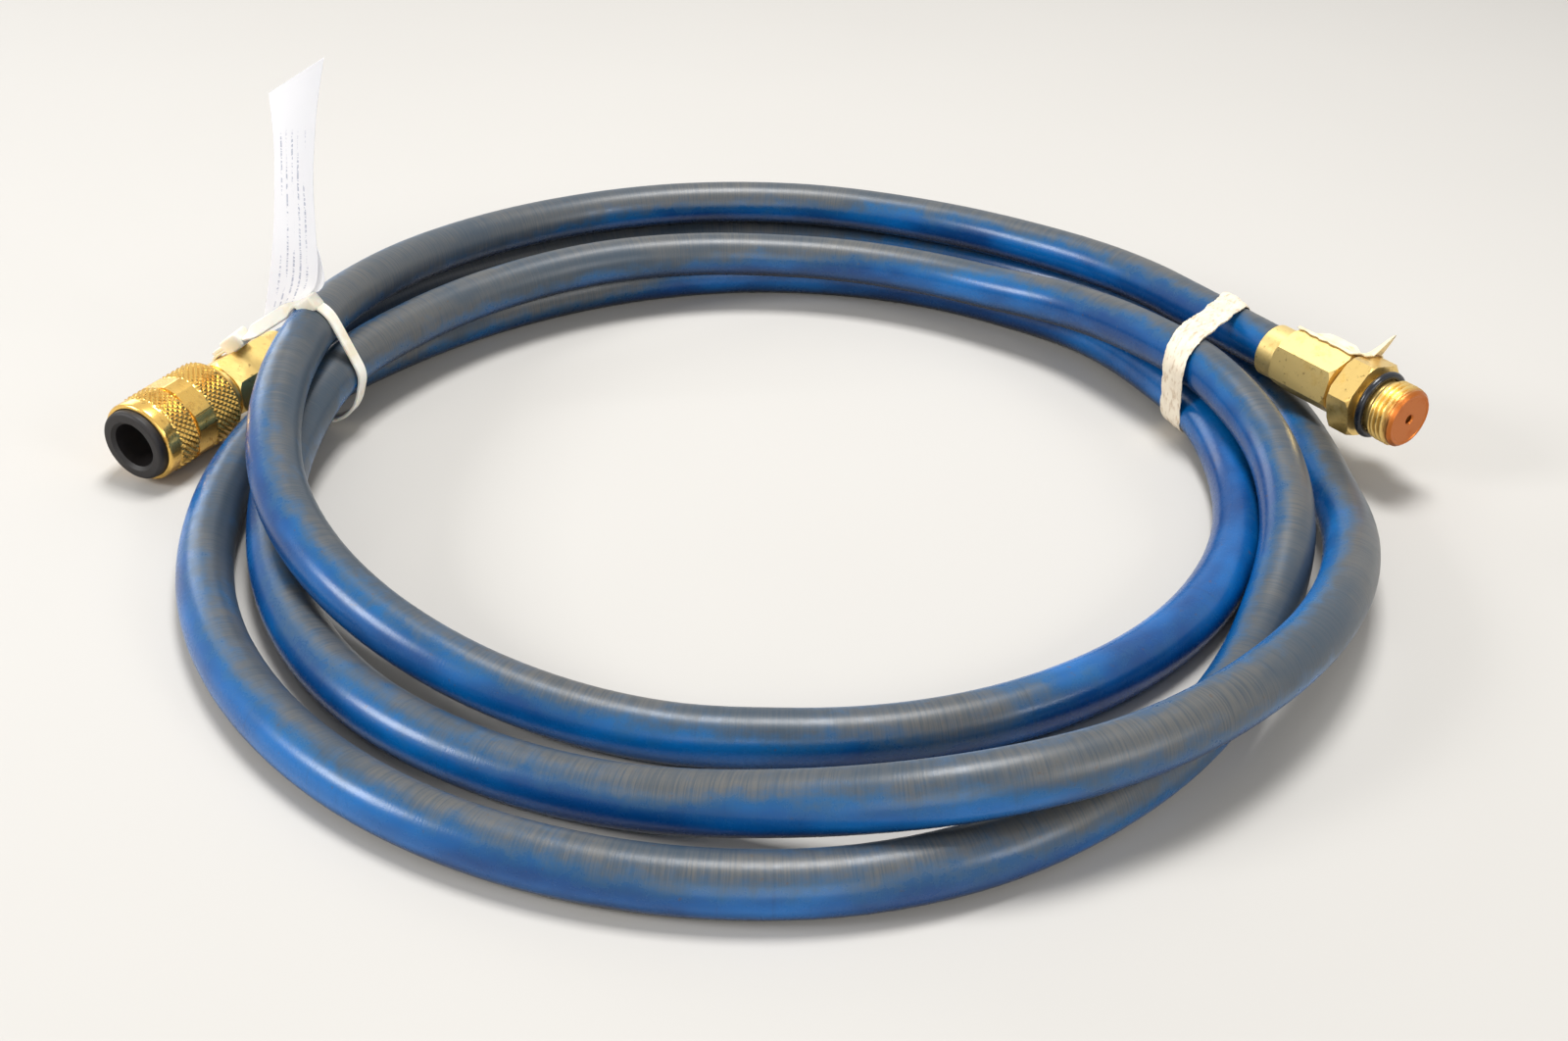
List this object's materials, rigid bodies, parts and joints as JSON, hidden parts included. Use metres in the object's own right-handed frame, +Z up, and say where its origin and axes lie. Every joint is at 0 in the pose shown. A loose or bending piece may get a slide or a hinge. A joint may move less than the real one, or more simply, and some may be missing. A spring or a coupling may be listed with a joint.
{
  "type": "coiled air hose",
  "caption": "Long air hose wound into a low coil and tied, with a threaded brass hose end at one end and a knurled swivel coupling with a rubber mouth at the other.",
  "frame": {"origin": "middle of the footprint's bounding box, on the surface that the coil lies on", "axes": "+Z up out of the table; +Y points to the side of the coil where most turns are stacked, opposite the side nearest the viewer; the threaded end is at +X and the coupling at -X"},
  "size_m": [0.3926, 0.3576, 0.1186],
  "materials": {
    "hose_cover": "satin, worn grey-brown on top",
    "hose_liner": "matte",
    "brass": "machined, slightly tarnished",
    "knurled_brass": "knurled and polished",
    "seal": "glossy",
    "washer": "plain",
    "bush": "matte",
    "tie": "satin",
    "tag": "matte",
    "tape": "creased"
  },
  "bodies": {
    "hose": {"hose_cover": "hose_cover", "hose_liner": "hose_liner", "male_socket": "brass", "male_insert": "brass", "male_o_ring": "seal", "coupling_socket": "brass", "coupling_stem": "brass", "thrust_washer": "washer", "snap_ring": "washer", "stem_o_ring": "seal", "cable_tie": "tie", "paper_tag": "tag", "tape_band": "tape", "torn_tape": "tape"},
    "nut": {"swivel_nut": "knurled_brass", "rubber_bush": "bush", "backing_washer": "washer"}
  },
  "joints": [
    {"name": "nut_swivel", "type": "hinge", "parent": "hose", "child": "nut", "pos_m": [-0.1753, 0.01932, 0.0128], "axis": [-0.4226, -0.9063, 0], "continuous": true}
  ]
}
